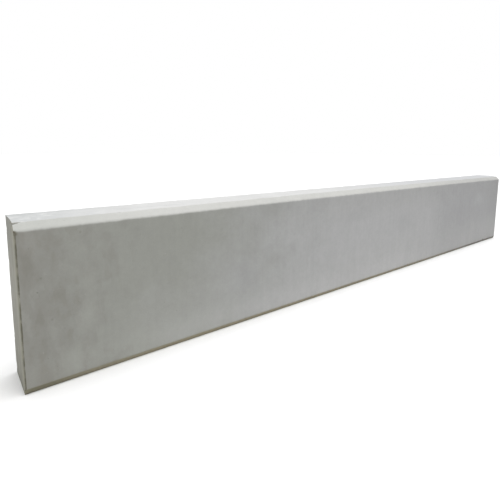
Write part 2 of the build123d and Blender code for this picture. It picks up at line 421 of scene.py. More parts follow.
# the near top corner of the show face is knocked off
corner = np.array([-3000.0, w_f + 28, h_t - 4])
cn = np.array([-0.62, -0.35, 0.70])
s = (P - corner) @ cn
push = np.where(
    np.linalg.norm(P - corner, axis=1) < 34, np.clip(s + 3.2 * (0.7 + 0.7 * grain), 0, None), 0
)
P -= push[:, None] * cn
broken = np.maximum(broken, np.clip(push / 2.0, 0, 1))

# the hand-worked front of the top dips a little towards both ends
dip = np.where(P[:, 0] < 0, 5.5, 9.0) * (P[:, 0] / 3000.0) ** 2
low = np.clip((P[:, 2] - (h_t - 230)) / 150, 0, 1)
low = low * low * (3 - 2 * low)
away = np.clip((-14 - P[:, 1]) / 86, 0, 1)
away = away * away * (3 - 2 * away)
P[:, 2] -= dip * low * away

# ---------------------------------------------------------------- sockets and pinholes cut into the skin
keep = np.ones(len(quads), bool)
extra_faces = []
verts = [P]
n_v = len(P)
quad_j = j.reshape(-1)
quad_i = i.reshape(-1)


def new_verts(pts):
    global n_v
    verts.append(np.asarray(pts, float))
    first = n_v
    n_v += len(pts)
    return list(range(first, n_v))


def surface_y(x, z):
    """The back face's own depth there."""
    d = np.hypot(P[:n_skin, 0] - x, P[:n_skin, 2] - z) + np.where(NV[:n_skin, 1] > 0.9, 0, 1e6)
    near = np.argsort(d)[:6]
    return float(P[near, 1].mean())


broken_extra = []
SEAT = 15.5 + 0.35
for cx in (-1800.0, 1800.0):
    for cz in (200.0, 700.0):
        jj = np.where(np.abs(col_x - cx) <= 41)[0]
        ii = [k for k in range(i_back, i_base + 1) if abs(ring[k, 1] - cz) <= 41 and ring[k, 0] > Y1 / MM - 1]
        j0, j1, k0, k1 = jj[0], jj[-1], ii[0], ii[-1]
        keep &= ~((quad_j >= j0) & (quad_j < j1) & (quad_i >= k0) & (quad_i < k1))
        loop = (
            [(c, k0) for c in range(j0, j1)]
            + [(j1, k) for k in range(k0, k1)]
            + [(c, k1) for c in range(j1, j0, -1)]
            + [(j0, k) for k in range(k1, k0, -1)]
        )
        ids = [c * n_ring + k for c, k in loop]
        outer = P[ids]
        ang = np.arctan2(outer[:, 2] - cz, outer[:, 0] - cx)
        y_here = surface_y(cx, cz)
        rings = [ids]
        # the float left the surface a touch low round each socket; its lip of paste is ragged
        for r, dy in ((30, -0.4), (23, -0.7), (18.6, -0.9), (16.6, -1.3), (SEAT, -2.4)):
            rr = r + (0.0 if r == SEAT else 1.1) * (np.random.default_rng(int(r * 10 + cz)).random(len(ang)) - 0.5)
            pts = np.c_[cx + rr * np.cos(ang), np.full(len(ang), y_here + dy), cz + rr * np.sin(ang)]
            rings.append(new_verts(pts))
        for depth in (69.5,):
            pts = np.c_[cx + SEAT * np.cos(ang), np.full(len(ang), Y1 / MM - depth), cz + SEAT * np.sin(ang)]
            rings.append(new_verts(pts))
        n = len(ids)
        for ra, rb in zip(rings, rings[1:]):
            for k in range(n):
                extra_faces.append((ra[k], ra[(k + 1) % n], rb[(k + 1) % n], rb[k]))
        extra_faces.append(tuple(rings[-1][::-1])[::-1])

# pinholes left by trapped air, most of them near the top of the mould's upright faces, none over a chair's foot
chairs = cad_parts["face_chairs"]
feet = np.array([(chairs.matrix_world @ v.co)[:] for v in chairs.data.vertices]) / MM
feet = feet[feet[:, 1] < Y0 / MM + 1.5]


def pinholes(count, want, side, seed):
    g = np.random.default_rng(seed)
    ok = np.where(keep & want)[0]
    weights = side(P[quads[ok, 0]])
    picked = g.choice(ok, size=count, replace=False, p=weights / weights.sum())
    for q in picked:
        ids = quads[q]
        c = P[ids].mean(0)
        e1 = P[ids[1]] - P[ids[0]]
        e2 = P[ids[3]] - P[ids[0]]
        if min(np.linalg.norm(e1), np.linalg.norm(e2)) < 5.5:
            continue
        if c[1] < 0 and np.hypot(feet[:, 0] - c[0], feet[:, 2] - c[2]).min() < 8:
            continue
        nrm = np.cross(e1, e2)
        nrm /= np.linalg.norm(nrm)
        t1 = e1 / np.linalg.norm(e1)
        t2 = np.cross(nrm, t1)
        r_max = 0.36 * min(np.linalg.norm(e1), np.linalg.norm(e2))
        r = min(r_max, 0.8 + g.gamma(1.6, 0.62))
        squash_k = 0.65 + 0.35 * g.random()
        turn = g.random() * math.pi
        a = np.arange(12) * math.pi / 6 + math.pi / 12 + math.pi
        base_dir = np.c_[np.cos(a), np.sin(a)]
        stretch = (1 + (squash_k - 1) * (np.cos(a - turn) ** 2)) * (0.9 + 0.2 * g.random(12))
        across = base_dir[:, :1] * t1 + base_dir[:, 1:] * t2
        ring_a = c + r * stretch[:, None] * across
        ring_b = c + 0.8 * r * stretch[:, None] * across - nrm * 0.75 * r
        ring_c = c + 0.4 * r * stretch[:, None] * across - nrm * 1.15 * r
        ra = new_verts(ring_a)
        rb = new_verts(ring_b)
        rc = new_verts(ring_c)
        keep[q] = False
        # corner k of the quad faces ring point 3k + 1
        for k in range(4):
            m0, m1, m2, m3 = 3 * k, 3 * k + 1, 3 * k + 2, (3 * k + 3) % 12
            extra_faces.append((ids[k], ra[m1], ra[m0]))
            extra_faces.append((ids[k], ra[m2], ra[m1]))
            extra_faces.append((ids[k], ids[(k + 1) % 4], ra[m3], ra[m2]))
        for k in range(12):
            extra_faces.append((ra[k], ra[(k + 1) % 12], rb[(k + 1) % 12], rb[k]))
            extra_faces.append((rb[k], rb[(k + 1) % 12], rc[(k + 1) % 12], rc[k]))
        extra_faces.append(tuple(rc))


q_mid = P[quads].mean(1)
q_n = NV[quads].mean(1)
flat_front = (q_n[:, 1] < -0.99) & (q_mid[:, 2] > 45) & (q_mid[:, 2] < h_t - 60) & (np.abs(q_mid[:, 0]) < 2960)
pinholes(240, flat_front, lambda p: 0.25 + (p[:, 2] / h_t) ** 2 + 0.8 * (fbm(p * MM, 1.7, 2, 5) > 0.55), 101)
flat_topq = (q_n[:, 2] > 0.99) & (np.abs(q_mid[:, 0]) < 2960)
for x in (-2500, -1500, -500, 500, 1500, 2500):
    flat_topq &= np.hypot(q_mid[:, 0] - x, q_mid[:, 1]) > 45
pinholes(80, flat_topq, lambda p: np.ones(len(p)), 103)
flat_backq = (q_n[:, 1] > 0.99) & (q_mid[:, 2] > 30) & (q_mid[:, 2] < h_t - 30) & (np.abs(q_mid[:, 0]) < 2960)
pinholes(90, flat_backq, lambda p: np.ones(len(p)), 107)

all_v = np.concatenate(verts) * MM
faces = [tuple(int(v) for v in f) for f in quads[keep]]
for q in caps:
    faces += [tuple(int(v) for v in f) for f in q]
faces += [tuple(int(v) for v in f) for f in extra_faces]
all_v[:, 0] = all_v[:, 0].clip(X0, X1)
all_v[:, 1] = all_v[:, 1].clip(Y0, Y1)
all_v[:, 2] = all_v[:, 2].clip(0.0, ZT)
mesh = bpy.data.meshes.new("precast_unit")
mesh.from_pydata(all_v.tolist(), [], faces)
mesh.validate()
unit = bpy.data.objects.new("precast_unit", mesh)
bpy.context.scene.collection.objects.link(unit)
attr = mesh.attributes.new("broken", "FLOAT", "POINT")
values = np.zeros(len(all_v), np.float32)
values[: len(broken)] = broken
attr.data.foreach_set("value", values)
mesh.shade_smooth()
mesh.set_sharp_from_angle(angle=math.radians(50))
print("unit faces", len(faces), "tris", sum(len(f) - 2 for f in faces))
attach(unit, "root")
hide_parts("concrete_body")


# ---------------------------------------------------------------- shader nodes
class Net:
    """Short names for building a material's nodes."""

    def __init__(self, name):
        self.m = bpy.data.materials.new(name)
        self.m.use_nodes = True
        self.t = self.m.node_tree
        self.t.nodes.clear()
        self.out = self.t.nodes.new("ShaderNodeOutputMaterial")
        self.bsdf = self.t.nodes.new("ShaderNodeBsdfPrincipled")
        self.t.links.new(self.bsdf.outputs[0], self.out.inputs[0])
        tc = self.t.nodes.new("ShaderNodeTexCoord")
        self.obj = tc.outputs["Object"]
        geo = self.t.nodes.new("ShaderNodeNewGeometry")
        self.normal = geo.outputs["Normal"]
        sx = self.t.nodes.new("ShaderNodeSeparateXYZ")
        self.link(self.obj, sx.inputs[0])
        self.x, self.y, self.z = sx.outputs
        sn = self.t.nodes.new("ShaderNodeSeparateXYZ")
        self.link(self.normal, sn.inputs[0])
        self.nx, self.ny, self.nz = sn.outputs

    def link(self, a, b):
        self.t.links.new(a, b)

    def put(self, value, socket):
        if isinstance(value, bpy.types.NodeSocket):
            self.link(value, socket)
        elif value is not None:
            socket.default_value = value

    def math(self, op, a, b=None, c=None, clamp=False):
        n = self.t.nodes.new("ShaderNodeMath")
        n.operation = op
        n.use_clamp = clamp
        for v, s in zip((a, b, c), n.inputs):
            self.put(v, s)
        return n.outputs[0]

    def add(self, a, b):
        return self.math("ADD", a, b)

    def mul(self, a, b, clamp=False):
        return self.math("MULTIPLY", a, b, clamp=clamp)

    def sub(self, a, b):
        return self.math("SUBTRACT", a, b)

    def ramp(self, v, a, b, lo=0.0, hi=1.0, smooth=True):
        """Maps v from a..b to lo..hi and holds it there."""
        n = self.t.nodes.new("ShaderNodeMapRange")
        n.interpolation_type = "SMOOTHSTEP" if smooth else "LINEAR"
        n.clamp = True
        for val, k in ((v, 0), (a, 1), (b, 2), (lo, 3), (hi, 4)):
            self.put(val, n.inputs[k])
        return n.outputs[0]

    def scaled(self, vec, scale, offset=(0, 0, 0)):
        n = self.t.nodes.new("ShaderNodeMapping")
        self.link(vec, n.inputs["Vector"])
        n.inputs["Scale"].default_value = scale
        n.inputs["Location"].default_value = offset
        return n.outputs[0]

    def noise(self, scale, detail=4.0, rough=0.5, vec=None, distort=0.0, lac=2.0):
        n = self.t.nodes.new("ShaderNodeTexNoise")
        self.link(vec or self.obj, n.inputs["Vector"])
        n.inputs["Scale"].default_value = scale
        n.inputs["Detail"].default_value = detail
        n.inputs["Roughness"].default_value = rough
        n.inputs["Lacunarity"].default_value = lac
        n.inputs["Distortion"].default_value = distort
        return n.outputs[0]

    def voronoi(self, scale, feature="F1", vec=None, random=1.0, smooth=None):
        n = self.t.nodes.new("ShaderNodeTexVoronoi")
        n.feature = feature
        self.link(vec or self.obj, n.inputs["Vector"])
        n.inputs["Scale"].default_value = scale
        n.inputs["Randomness"].default_value = random
        if smooth is not None:
            n.inputs["Smoothness"].default_value = smooth
        return n.outputs["Distance"], n.outputs.get("Color")

    def mix(self, fac, a, b, mode="MIX"):
        n = self.t.nodes.new("ShaderNodeMix")
        n.data_type = "RGBA"
        n.blend_type = mode
        n.clamp_factor = True
        self.put(fac, n.inputs[0])
        for v, s in ((a, n.inputs[6]), (b, n.inputs[7])):
            if isinstance(v, tuple):
                s.default_value = (*v[:3], 1.0)
            else:
                self.link(v, s)
        return n.outputs[2]

    def scale_colour(self, colour, factor):
        """Colour times a grey factor."""
        c = self.t.nodes.new("ShaderNodeVectorMath")
        c.operation = "SCALE"
        if isinstance(colour, tuple):
            c.inputs[0].default_value = colour
        else:
            self.link(colour, c.inputs[0])
        self.put(factor, c.inputs["Scale"])
        return c.outputs[0]

    def attribute(self, name):
        n = self.t.nodes.new("ShaderNodeAttribute")
        n.attribute_name = name
        return n.outputs["Fac"]

    def bump(self, height, strength, distance, before=None):
        n = self.t.nodes.new("ShaderNodeBump")
        n.inputs["Strength"].default_value = strength
        n.inputs["Distance"].default_value = distance
        self.link(height, n.inputs["Height"])
        if before is not None:
            self.link(before, n.inputs["Normal"])
        return n.outputs[0]

    def finish(self, colour, rough, normal=None, metallic=0.0, specular=0.5):
        """Metallic and roughness are numbers, or sockets where they vary over the surface."""
        self.put(colour if isinstance(colour, bpy.types.NodeSocket) else (*colour, 1.0), self.bsdf.inputs["Base Color"])
        self.put(rough, self.bsdf.inputs["Roughness"])
        self.put(metallic, self.bsdf.inputs["Metallic"])
        self.bsdf.inputs["Specular IOR Level"].default_value = specular
        if normal is not None:
            self.link(normal, self.bsdf.inputs["Normal"])
        return self.m


def srgb(r, g, b):
    """Linear colour from 0-255 display values."""
    return tuple(((c / 255 + 0.055) / 1.055) ** 2.4 if c > 10 else c / 255 / 12.92 for c in (r, g, b))


E_FACE, E_TOP, E_SPLAY, E_END, E_FOOT = 0.985, 1.44, 1.34, 1.0, 0.74  # light reaching each face, relative to white


def tone(r, g, b, lit=E_FACE):
    """Albedo that shows as that display colour under that much light."""
    return tuple(min(0.9, c / lit) for c in srgb(r, g, b))


def concrete():
    n = Net("precast_concrete")
    X = n.add(n.x, 3.0)  # from the left end
    front = n.ramp(n.ny, -0.55, -0.85)
    back = n.ramp(n.ny, 0.55, 0.85)
    ends = n.ramp(n.math("ABSOLUTE", n.nx), 0.8, 0.93)
    under = n.ramp(n.nz, -0.85, -0.97)

    big = n.noise(1.1, 3, 0.55)
    cloud = n.noise(3.2, 5, 0.55, distort=0.25)
    patch = n.noise(8.5, 5, 0.6, distort=0.3)
    blot = n.noise(1.0, 4, 0.55, vec=n.scaled(n.obj, (17, 17, 8.5), (2.7, 0, 5.1)))
    mottle = n.noise(27.0, 5, 0.62)
    speck = n.noise(105.0, 4, 0.65)
    sand = n.noise(620.0, 3, 0.6)
    streak = n.noise(1.0, 4, 0.6, vec=n.scaled(n.obj, (30, 30, 1.6)))
    streak_wide = n.noise(1.0, 3, 0.5, vec=n.scaled(n.obj, (7, 7, 1.0), (3.1, 0, 0)))

    def off(v, amount):
        """A noise's swing about its middle, times amount."""
        return n.mul(n.sub(v, 0.5), amount)

    ragged_z = n.add(n.nz, n.add(off(patch, 0.3), off(mottle, 0.3)))
    splay = n.mul(n.ramp(ragged_z, 0.10, 0.52), n.ramp(n.ny, -0.12, -0.4))
    top = n.ramp(n.add(n.nz, off(mottle, 0.08)), 0.80, 0.96)

    # show face: olive and a little darker over the left third, neutral and paler beyond
    slant = n.add(n.sub(X, n.mul(n.z, 0.55)), n.add(off(cloud, 1.1), n.add(off(big, 0.9), off(patch, 0.35))))
    olive_f = n.ramp(slant, 1.62, 0.45)
    left_f = n.ramp(n.add(X, n.add(off(patch, 0.7), off(cloud, 0.4))), 0.52, 0.02)
    far_f = n.ramp(n.add(X, n.add(off(cloud, 1.6), off(big, 1.2))), 3.5, 4.9)
    mid_f = n.ramp(n.add(X, n.add(off(cloud, 0.8), off(patch, 0.5))), 1.1, 2.9)
    face = n.mix(mid_f, tone(158, 158.5, 157), tone(167, 167, 167))
    face = n.mix(far_f, face, tone(155.5, 155.5, 156))
    high = n.mul(n.ramp(n.add(n.z, off(cloud, 0.3)), 0.58, 0.84), n.mul(n.ramp(X, 1.0, 1.8), n.ramp(X, 5.0, 3.9, 0.25, 1.0)))
    face = n.mix(n.mul(high, 0.32), face, tone(151, 151, 149))
    face = n.mix(n.mul(n.ramp(n.add(X, off(patch, 0.3)), 5.5, 5.95), 0.65), face, tone(146.5, 146.5, 146.5))
    face = n.mix(olive_f, face, tone(146.5, 147.5, 141.5))
    face = n.mix(left_f, face, tone(138.5, 138, 132))
    # lower half a touch paler, most of all past the middle
    low = n.mul(n.ramp(n.add(n.z, off(cloud, 0.25)), 0.50, 0.08), n.ramp(X, 0.05, 0.9))
    low_c = n.mix(n.ramp(X, 0.5, 1.8), tone(165, 166, 161), tone(175, 175, 173.5))
    face = n.mix(n.mul(low, 0.42), face, low_c)
    # brownish flecks close to the left end
    fleck = n.mul(n.ramp(blot, 0.50, 0.66), n.ramp(n.add(X, off(cloud, 0.5)), 0.80, 0.0))
    face = n.mix(n.mul(fleck, 0.42), face, tone(127.5, 125.5, 117.5))
    pale = n.mul(n.ramp(blot, 0.46, 0.34), n.ramp(X, 1.3, 0.1))
    face = n.mix(n.mul(pale, 0.35), face, tone(152, 152, 146))

    def bloom(cx, cz, rx, rz, amount, col, colour):
        dx = n.mul(n.sub(n.add(X, off(patch, 0.45 * rx)), cx), 1 / rx)
        dz = n.mul(n.sub(n.add(n.z, off(patch, 0.45 * rz)), cz), 1 / rz)
        d = n.math("SQRT", n.add(n.mul(dx, dx), n.mul(dz, dz)))
        return n.mix(n.mul(n.ramp(d, 1.0, 0.0), amount), col, colour)

    face = bloom(0.335, 0.36, 0.075, 0.14, 0.55, face, tone(158, 159, 153))
    face = bloom(0.235, 0.13, 0.08, 0.12, 0.5, face, tone(156, 157, 151))
    face = bloom(0.07, 0.79, 0.08, 0.10, 0.45, face, tone(152, 151, 145))
    face = bloom(0.045, 0.66, 0.05, 0.16, 0.35, face, tone(126, 124, 116))
    face = bloom(0.17, 0.80, 0.07, 0.07, 0.3, face, tone(128, 126, 119))
    face = bloom(1.42, 0.34, 0.20, 0.24, 0.3, face, tone(146, 147, 146))
    face = bloom(3.55, 0.52, 0.26, 0.20, 0.3, face, tone(153, 153, 154))
    face = bloom(4.35, 0.76, 0.55, 0.08, 0.2, face, tone(150, 150, 151))
    face = bloom(4.9, 0.40, 0.5, 0.28, 0.3, face, tone(150, 150, 151))
    face = bloom(5.35, 0.62, 0.22, 0.12, 0.3, face, tone(172, 173, 174))
    face = bloom(2.75, 0.66, 0.32, 0.10, 0.35, face, tone(153, 153, 153))
    face = bloom(4.02, 0.42, 0.16, 0.34, 0.3, face, tone(178, 178, 178))
    face = bloom(0.105, 0.60, 0.011, 0.011, 0.36, face, tone(104, 102, 92))
    face = bloom(0.305, 0.815, 0.010, 0.012, 0.36, face, tone(108, 106, 97))
    face = bloom(0.145, 0.37, 0.011, 0.011, 0.36, face, tone(106, 104, 95))
    # painted light: the face is made paler just above the foot, standing in for light that is lost close to the floor
    painted_floor_bounce = n.mul(n.ramp(n.add(n.z, off(patch, 0.06)), 0.24, 0.03), n.ramp(X, 5.7, 2.8, 0.25, 1.0))
    face = n.scale_colour(face, n.add(1.0, n.mul(painted_floor_bounce, 0.13)))

    # back face: floated, a little lighter and rougher; top: trowelled pale paste
    swirl = n.noise(1.0, 4, 0.6, vec=n.scaled(n.obj, (3.0, 1, 16)), distort=1.4)
    rear = n.mix(n.ramp(cloud, 0.35, 0.66), tone(162, 161, 156), tone(173, 172, 168))
    rear = n.mix(n.mul(n.ramp(swirl, 0.45, 0.62), 0.3), rear, tone(182, 181, 177))
    sx_ = n.sub(n.math("ABSOLUTE", n.x), SOCKET_X)
    dz1, dz2 = n.sub(n.z, SOCKET_Z[0]), n.sub(n.z, SOCKET_Z[1])
    near_z = n.math("MINIMUM", n.math("ABSOLUTE", dz1), n.math("ABSOLUTE", dz2))
    socket_d = n.math("SQRT", n.add(n.mul(sx_, sx_), n.mul(near_z, near_z)))
    socket_d = n.add(socket_d, off(mottle, 0.016))
    rear = n.mix(n.mul(n.ramp(socket_d, 0.048, 0.018), 0.3), rear, tone(128, 126, 119))
    below = n.math("MAXIMUM", n.mul(n.ramp(dz1, -0.150, -0.03), n.ramp(dz1, -0.012, -0.018)), n.mul(n.ramp(dz2, -0.150, -0.03), n.ramp(dz2, -0.012, -0.018)))
    thin = n.ramp(n.math("ABSOLUTE", n.add(sx_, off(patch, 0.02))), 0.009, 0.001)
    rear = n.mix(n.mul(n.mul(below, thin), n.mul(n.ramp(mottle, 0.35, 0.6), 0.5)), rear, tone(128, 108, 84))
    trowel = n.noise(1.0, 5, 0.62, vec=n.scaled(n.obj, (4.0, 34, 4.0)), distort=0.8)
    crown = n.mix(n.ramp(n.add(X, off(cloud, 0.5)), 0.0, 0.75), tone(216, 218, 218, E_TOP), tone(233, 233, 232, E_TOP))
    crown = n.mix(n.ramp(n.add(X, off(cloud, 1.2)), 1.9, 4.4), crown, tone(217, 218, 220, E_TOP))
    crown = n.mix(n.mul(n.ramp(trowel, 0.50, 0.68), 0.35), crown, tone(209, 210, 210, E_TOP))
    # blotchy paste over the first half metre: bare grey by the back edge, laitance in white patches
    by_end = n.ramp(n.add(X, off(cloud, 0.4)), 0.75, 0.10)
    bare = n.mul(n.ramp(n.add(n.y, off(patch, 0.10)), 0.02, 0.12), n.ramp(mottle, 0.40, 0.56))
    crown = n.mix(n.mul(n.mul(bare, by_end), 0.5), crown, tone(198, 200, 200, E_TOP))
    white = n.mul(n.ramp(patch, 0.50, 0.60), n.ramp(mottle, 0.44, 0.60))
    crown = n.mix(n.mul(n.mul(white, by_end), 0.6), crown, tone(238, 239, 238, E_TOP))
    bev = n.mix(n.ramp(n.add(X, off(cloud, 0.3)), 0.05, 0.75), tone(200, 201, 196, E_SPLAY), tone(213, 213, 209, E_SPLAY))
    bev = n.mix(n.ramp(n.add(X, off(cloud, 0.8)), 3.3, 5.3), bev, tone(201, 201, 198, E_SPLAY))
    grey_end = n.mul(n.ramp(n.add(n.z, off(patch, 0.3)), 0.62, 0.9), n.ramp(n.y, -0.10, 0.06))
    stub = n.mix(n.ramp(patch, 0.38, 0.62), tone(142, 141, 130, E_END), tone(151, 150, 139, E_END))
    stub = n.mix(n.mul(grey_end, 0.6), stub, tone(138, 139, 133, E_END))
    run = n.noise(1.0, 3, 0.6, vec=n.scaled(n.obj, (30, 26, 0.9), (0, 4.3, 0)))
    stub = n.mix(n.mul(n.ramp(run, 0.46, 0.62), 0.5), stub, tone(131, 129, 118, E_END))
    sole = n.mix(n.ramp(patch, 0.40, 0.62), tone(112, 109, 99), tone(138, 135, 127))

    col = n.mix(back, face, rear)
    col = n.mix(splay, col, bev)
    col = n.mix(top, col, crown)
    col = n.mix(ends, col, stub)
    col = n.mix(under, col, sole)

    # joint stains, some with painted shade: the upright arrises, the bevel along the foot, the mould's edges
    reach = n.add(n.sub(3.0, n.math("ABSOLUTE", n.x)), n.add(n.y, 0.14))  # 8 mm on the arris, more beyond it
    ragged = off(mottle, 0.006)
    left_side = n.ramp(n.x, 0.5, -0.5)
    halo = n.mul(n.mul(n.ramp(reach, 0.110, 0.020), n.ramp(n.math("ABSOLUTE", n.nx), 0.3, 0.6)), n.ramp(mottle, 0.25, 0.6))
    col = n.mix(n.mul(halo, 0.6), col, tone(153, 151, 134, E_END))
    arris = n.mul(n.ramp(n.add(reach, ragged), 0.0106, 0.0078), n.ramp(n.z, 0.866, 0.852))
    arris = n.mul(arris, n.ramp(n.add(n.y, n.mul(ragged, 0.5)), -0.1335, -0.1368))
    # the left arris line is mould-joint stain; the right-hand one is partly stain, partly painted shade of the arris
    stain_and_shade = n.mix(left_side, tone(124, 123, 119), tone(92, 90, 74))
    col = n.mix(n.mul(arris, n.add(n.mul(left_side, 0.35), 0.6)), col, stain_and_shade)
    # a darker blot where the near arris runs out at the splay
    d_blot = n.math("ABSOLUTE", n.mul(n.sub(n.z, 0.846), 1 / 0.018))
    blot_m = n.mul(n.ramp(d_blot, 1.0, 0.3), n.mul(n.ramp(reach, 0.022, 0.010), left_side))
    col = n.mix(n.mul(blot_m, 0.7), col, tone(99, 94, 80))
    # mortar-stained line down the back edge of each end
    hind = n.mul(n.ramp(n.add(n.y, off(patch, 0.03)), 0.096, 0.118), ends)
    col = n.mix(n.mul(hind, 0.6), col, tone(119, 117, 107, E_END))
    # the bevel along the foot: partly mould-joint stain, partly painted shade of the down-facing bevel, its brown tint
    # a painted reflection of brown ground
    foot = n.mul(n.ramp(n.nz, -0.12, -0.30), n.ramp(n.ny, -0.3, -0.6))
    # away from the near end the bevel's dark colour, stain and painted shade, thins out towards the bevel's upper edge
    thin_up = n.mul(n.ramp(n.add(n.z, off(patch, 0.008)), 0.0225, 0.0310), n.ramp(X, 0.1, 0.45))
    foot = n.mul(foot, n.sub(1.0, n.mul(thin_up, 0.75)))
    foot_c = n.mix(n.ramp(n.add(X, off(cloud, 0.25)), 0.04, 0.42), tone(95, 92, 71, E_FOOT), tone(131, 125, 104, E_FOOT))
    foot_c = n.mix(n.ramp(X, 2.6, 5.4), foot_c, tone(120, 117, 107, E_FOOT))
    foot_c = n.mix(n.ramp(X, 4.6, 5.3), foot_c, tone(102, 100, 92, E_FOOT))
    foot_c = n.mix(n.mul(n.ramp(mottle, 0.5, 0.68), 0.4), foot_c, tone(131, 125, 104, E_FOOT))
    col = n.mix(foot, col, foot_c)
    tide = n.mul(n.ramp(n.add(n.z, off(patch, 0.016)), 0.040, 0.029), n.mul(front, n.ramp(X, 0.9, 0.2, 0.4, 1.0)))
    col = n.mix(n.mul(tide, 0.4), col, tone(136, 133, 118))
    # painted shade: a dark line along the back top edge
    painted_rim_shade = n.mul(n.ramp(n.y, 0.124, 0.137), n.ramp(n.z, 0.886, 0.897))
    col = n.mix(n.mul(n.mul(painted_rim_shade, n.ramp(mottle, 0.30, 0.55)), n.ramp(X, 2.4, 3.8, 0.5, 0.85)), col, tone(160, 160, 157, 1.2))

    # tone variation shared by all faces, strongest towards the left end
    left_k = n.ramp(X, 0.2, 2.2, 0.85, 1.3)
    k = n.add(off(cloud, 0.11), off(patch, 0.09))
    k = n.add(k, off(mottle, 0.12))
    k = n.add(k, n.mul(off(streak, 0.09), n.add(front, ends)))
    k = n.add(k, n.mul(off(streak_wide, 0.06), front))
    k = n.add(k, off(speck, 0.14))
    k = n.add(n.mul(k, left_k), off(sand, 0.10))
    k = n.add(k, 1.0)
    # pores: fine dark dots, clustered; their darkness is painted shade inside the pits
    d_pore, _ = n.voronoi(75.0)
    pores = n.mul(n.ramp(d_pore, 0.10, 0.05), n.ramp(n.noise(5.0, 3), 0.46, 0.62))
    d_dot, _ = n.voronoi(23.0)
    dots = n.mul(n.ramp(d_dot, 0.055, 0.03), n.ramp(n.noise(2.2, 3, vec=n.scaled(n.obj, (1, 1, 1), (7, 3, 1))), 0.48, 0.6))
    holes = n.math("MAXIMUM", pores, dots)
    k = n.mul(k, n.sub(1.0, n.mul(holes, 0.4)))
    col = n.scale_colour(col, k)
    # broken edges show darker paste and sand
    raw = n.attribute("broken")
    grit = n.noise(230.0, 5, 0.72)
    raw_c = n.mix(n.ramp(grit, 0.40, 0.58), tone(98, 95, 86, 1.1), tone(146, 143, 134, 1.1))
    raw_c = n.mix(n.ramp(raw, 0.75, 1.0, 0.0, 0.7), raw_c, tone(88, 86, 79, 1.1))
    col = n.mix(n.mul(n.ramp(n.add(raw, off(speck, 0.5)), 0.2, 0.65), 0.75), col, raw_c)

    rough = n.add(0.66, off(cloud, 0.25))
    rough = n.add(rough, off(speck, 0.15))
    rough = n.add(rough, n.mul(n.add(back, top), 0.12))
    rough = n.ramp(rough, 0.4, 1.0, 0.4, 1.0, smooth=False)

    # relief: sand grain, skin ripple, float and trowel marks, pores
    height = n.mul(sand, 0.12)
    height = n.add(height, n.mul(speck, 0.3))
    height = n.add(height, n.mul(n.mul(mottle, 0.6), n.add(0.5, n.add(back, top))))
    height = n.add(height, n.mul(n.mul(swirl, 1.6), back))
    height = n.add(height, n.mul(n.mul(trowel, 1.5), top))
    height = n.sub(height, n.mul(holes, 1.4))
    height = n.add(height, n.mul(n.mul(grit, raw), 2.4))
    nrm = n.bump(height, 0.6, 0.0011)
    return n.finish(col, rough, nrm, specular=0.3)


mat_concrete = concrete()
unit.data.materials.append(mat_concrete)


# ---------------------------------------------------------------- the sockets' threaded tubes
def threaded_tubes():
    """Four tubes with a real M24 x 3 thread, mouth edges eased, as one mesh."""
    n_th, pitch, major, minor, outer, length = 40, 3.0, 12.0, 10.4, 15.5, 70.0
    th = np.arange(n_th) * 2 * math.pi / n_th
    rows = []  # (depth below the mouth, radius) per angle

    def plain(s_, r_):
        rows.append((np.full(n_th, float(s_)), np.full(n_th, float(r_))))

    plain(0.0, 15.0)
    plain(0.0, 13.2)
    plain(0.25, 12.9)
    for s_ in np.arange(1.0, 66.01, 0.5):
        f = (s_ / pitch - th / (2 * math.pi)) % 1.0
        tri = np.abs(2 * f - 1)
        r_ = minor + (major - minor) * np.clip((tri - 0.12) / 0.76, 0, 1)
        if s_ < 2.6:  # the thread starts out of the countersink
            r_ = np.maximum(r_, 12.6 - (s_ - 0.5) * 1.0)
        rows.append((np.full(n_th, s_), r_))
    plain(66.8, minor)
    plain(70.0, minor)
    plain(70.0, outer)
    for s_ in (60, 45, 30, 15, 4, 0.5):
        plain(s_, outer)
    pts, fcs = [], []
    n_rows = len(rows)
    for cx in (-1800.0, 1800.0):
        for cz in (200.0, 700.0):
            first = len(pts) * n_th
            turn = {(-1800.0, 200.0): 0.4, (-1800.0, 700.0): 2.1, (1800.0, 200.0): 4.0, (1800.0, 700.0): 5.3}[(cx, cz)]
            for s_, r_ in rows:
                pts.append(np.c_[cx + r_ * np.cos(th + turn), Y1 / MM - s_, cz + r_ * np.sin(th + turn)])
            for a in range(n_rows):
                b = (a + 1) % n_rows
                for k in range(n_th):
                    k2 = (k + 1) % n_th
                    fcs.append((first + a * n_th + k, first + b * n_th + k, first + b * n_th + k2, first + a * n_th + k2))
    me = bpy.data.meshes.new("threaded_socket_tubes")
    me.from_pydata((np.concatenate(pts) * MM).tolist(), [], fcs)
    me.validate()
    me.shade_smooth()
    me.set_sharp_from_angle(angle=math.radians(32))
    ob = bpy.data.objects.new("threaded_socket_tubes", me)
    bpy.context.scene.collection.objects.link(ob)
    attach(ob, "root")
    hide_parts("socket_tubes")
    return ob


